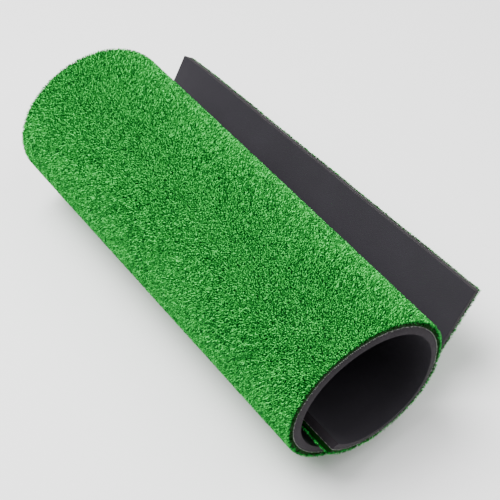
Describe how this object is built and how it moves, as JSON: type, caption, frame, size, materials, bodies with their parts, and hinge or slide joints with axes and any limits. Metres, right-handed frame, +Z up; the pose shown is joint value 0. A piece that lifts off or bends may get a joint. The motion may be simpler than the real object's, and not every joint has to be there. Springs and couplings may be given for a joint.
{
  "type": "golf hitting mat",
  "caption": "Rectangular practice mat with a tufted turf face, woven backing and foam base, loosely rolled turf side out with its outer end standing up; it unrolls flat.",
  "frame": {"origin": "middle of the rolled mat's bounding box, on the floor that it lies on", "axes": "+Z up, +Y along the roll's axis from the open near end to the far end, +X towards the open flap"},
  "size_m": [0.328, 0.6498, 0.2409],
  "materials": {
    "foam": "matte",
    "backing": "matte",
    "pile": "matte"
  },
  "bodies": {
    "inner_end_1": {"foam_inner_end_1": "foam", "backing_inner_end_1": "backing", "pile_inner_end_1": "pile"},
    "inner_end_2": {"foam_inner_end_2": "foam", "backing_inner_end_2": "backing", "pile_inner_end_2": "pile"},
    "inner_end_3": {"foam_inner_end_3": "foam", "backing_inner_end_3": "backing", "pile_inner_end_3": "pile"},
    "right_low_1": {"foam_right_low_1": "foam", "backing_right_low_1": "backing", "pile_right_low_1": "pile"},
    "right_low_2": {"foam_right_low_2": "foam", "backing_right_low_2": "backing", "pile_right_low_2": "pile"},
    "right_high_1": {"foam_right_high_1": "foam", "backing_right_high_1": "backing", "pile_right_high_1": "pile"},
    "right_high_2": {"foam_right_high_2": "foam", "backing_right_high_2": "backing", "pile_right_high_2": "pile"},
    "crown_1": {"foam_crown_1": "foam", "backing_crown_1": "backing", "pile_crown_1": "pile"},
    "crown_2": {"foam_crown_2": "foam", "backing_crown_2": "backing", "pile_crown_2": "pile"},
    "crown_3": {"foam_crown_3": "foam", "backing_crown_3": "backing", "pile_crown_3": "pile"},
    "left_high_1": {"foam_left_high_1": "foam", "backing_left_high_1": "backing", "pile_left_high_1": "pile"},
    "left_high_2": {"foam_left_high_2": "foam", "backing_left_high_2": "backing", "pile_left_high_2": "pile"},
    "left_high_3": {"foam_left_high_3": "foam", "backing_left_high_3": "backing", "pile_left_high_3": "pile"},
    "left_low_1": {"foam_left_low_1": "foam", "backing_left_low_1": "backing", "pile_left_low_1": "pile"},
    "left_low_2": {"foam_left_low_2": "foam", "backing_left_low_2": "backing", "pile_left_low_2": "pile"},
    "heel": {"foam_heel": "foam", "backing_heel": "backing", "pile_heel": "pile"},
    "floor": {"foam_floor": "foam", "backing_floor": "backing", "pile_floor": "pile"},
    "rise_1": {"foam_rise_1": "foam", "backing_rise_1": "backing", "pile_rise_1": "pile"},
    "rise_2": {"foam_rise_2": "foam", "backing_rise_2": "backing", "pile_rise_2": "pile"},
    "flap": {"foam_flap": "foam", "backing_flap": "backing", "pile_flap": "pile"}
  },
  "joints": [
    {"name": "unroll_heel", "type": "hinge", "parent": "floor", "child": "heel", "pos_m": [-0.05238, 0, 0.009], "axis": [0, -1, 0], "range_deg": [0, 14.01]},
    {"name": "unroll_left_low_2", "type": "hinge", "parent": "heel", "child": "left_low_2", "pos_m": [-0.07867, 0, 0.01555], "axis": [0, -1, 0], "range_deg": [0, 25.26]},
    {"name": "unroll_left_low_1", "type": "hinge", "parent": "left_low_2", "child": "left_low_1", "pos_m": [-0.12339, 0, 0.05209], "axis": [0, -1, 0], "range_deg": [0, 22.51]},
    {"name": "unroll_left_high_3", "type": "hinge", "parent": "left_low_1", "child": "left_high_3", "pos_m": [-0.15072, 0, 0.10296], "axis": [0, -1, 0], "range_deg": [0, 25.09]},
    {"name": "unroll_left_high_2", "type": "hinge", "parent": "left_high_3", "child": "left_high_2", "pos_m": [-0.15334, 0, 0.15023], "axis": [0, -1, 0], "range_deg": [0, 27.68]},
    {"name": "unroll_left_high_1", "type": "hinge", "parent": "left_high_2", "child": "left_high_1", "pos_m": [-0.13371, 0, 0.19331], "axis": [0, -1, 0], "range_deg": [0, 27.68]},
    {"name": "unroll_crown_3", "type": "hinge", "parent": "left_high_1", "child": "crown_3", "pos_m": [-0.09632, 0, 0.22235], "axis": [0, -1, 0], "range_deg": [0, 27.51]},
    {"name": "unroll_crown_2", "type": "hinge", "parent": "crown_3", "child": "crown_2", "pos_m": [-0.04518, 0, 0.23167], "axis": [0, -1, 0], "range_deg": [0, 27.34]},
    {"name": "unroll_crown_1", "type": "hinge", "parent": "crown_2", "child": "crown_1", "pos_m": [0.00453, 0, 0.21647], "axis": [0, -1, 0], "range_deg": [0, 27.34]},
    {"name": "unroll_right_high_2", "type": "hinge", "parent": "crown_1", "child": "right_high_2", "pos_m": [0.04171, 0, 0.18015], "axis": [0, -1, 0], "range_deg": [0, 27.18]},
    {"name": "unroll_right_high_1", "type": "hinge", "parent": "right_high_2", "child": "right_high_1", "pos_m": [0.05578, 0, 0.13808], "axis": [0, -1, 0], "range_deg": [0, 27.01]},
    {"name": "unroll_right_low_2", "type": "hinge", "parent": "right_high_1", "child": "right_low_2", "pos_m": [0.04923, 0, 0.09422], "axis": [0, -1, 0], "range_deg": [0, 25.75]},
    {"name": "unroll_right_low_1", "type": "hinge", "parent": "right_low_2", "child": "right_low_1", "pos_m": [0.03155, 0, 0.06826], "axis": [0, -1, 0], "range_deg": [0, 24.51]},
    {"name": "unroll_inner_end_3", "type": "hinge", "parent": "right_low_1", "child": "inner_end_3", "pos_m": [0.00471, 0, 0.05197], "axis": [0, -1, 0], "range_deg": [0, 24.09]},
    {"name": "unroll_inner_end_2", "type": "hinge", "parent": "inner_end_3", "child": "inner_end_2", "pos_m": [-0.03924, 0, 0.04644], "axis": [0, -1, 0], "range_deg": [0, 23.68]},
    {"name": "unroll_inner_end_1", "type": "hinge", "parent": "inner_end_2", "child": "inner_end_1", "pos_m": [-0.08171, 0, 0.05902], "axis": [0, -1, 0], "range_deg": [0, 23.68]},
    {"name": "unroll_rise_1", "type": "hinge", "parent": "floor", "child": "rise_1", "pos_m": [0.00962, 0, 0.009], "axis": [0, 1, 0], "range_deg": [0, 13.26]},
    {"name": "unroll_rise_2", "type": "hinge", "parent": "rise_1", "child": "rise_2", "pos_m": [0.0529, 0, 0.01919], "axis": [0, 1, 0], "range_deg": [0, 26.51]},
    {"name": "unroll_flap", "type": "hinge", "parent": "rise_2", "child": "flap", "pos_m": [0.08709, 0, 0.04762], "axis": [0, 1, 0], "range_deg": [0, 13.26]}
  ],
  "couplings": [
    {"joint": "unroll_heel", "follows": "unroll_right_low_2", "ratio": 0.54369},
    {"joint": "unroll_left_low_2", "follows": "unroll_right_low_2", "ratio": 0.98058},
    {"joint": "unroll_left_low_1", "follows": "unroll_right_low_2", "ratio": 0.87379},
    {"joint": "unroll_left_high_3", "follows": "unroll_right_low_2", "ratio": 0.97411},
    {"joint": "unroll_left_high_2", "follows": "unroll_right_low_2", "ratio": 1.0744},
    {"joint": "unroll_left_high_1", "follows": "unroll_right_low_2", "ratio": 1.0744},
    {"joint": "unroll_crown_3", "follows": "unroll_right_low_2", "ratio": 1.068},
    {"joint": "unroll_crown_2", "follows": "unroll_right_low_2", "ratio": 1.0615},
    {"joint": "unroll_crown_1", "follows": "unroll_right_low_2", "ratio": 1.0615},
    {"joint": "unroll_right_high_2", "follows": "unroll_right_low_2", "ratio": 1.055},
    {"joint": "unroll_right_high_1", "follows": "unroll_right_low_2", "ratio": 1.0485},
    {"joint": "unroll_right_low_1", "follows": "unroll_right_low_2", "ratio": 0.95146},
    {"joint": "unroll_inner_end_3", "follows": "unroll_right_low_2", "ratio": 0.93528},
    {"joint": "unroll_inner_end_2", "follows": "unroll_right_low_2", "ratio": 0.91909},
    {"joint": "unroll_inner_end_1", "follows": "unroll_right_low_2", "ratio": 0.91909},
    {"joint": "unroll_rise_1", "follows": "unroll_right_low_2", "ratio": 0.51456},
    {"joint": "unroll_rise_2", "follows": "unroll_right_low_2", "ratio": 1.0291},
    {"joint": "unroll_flap", "follows": "unroll_right_low_2", "ratio": 0.51456}
  ]
}
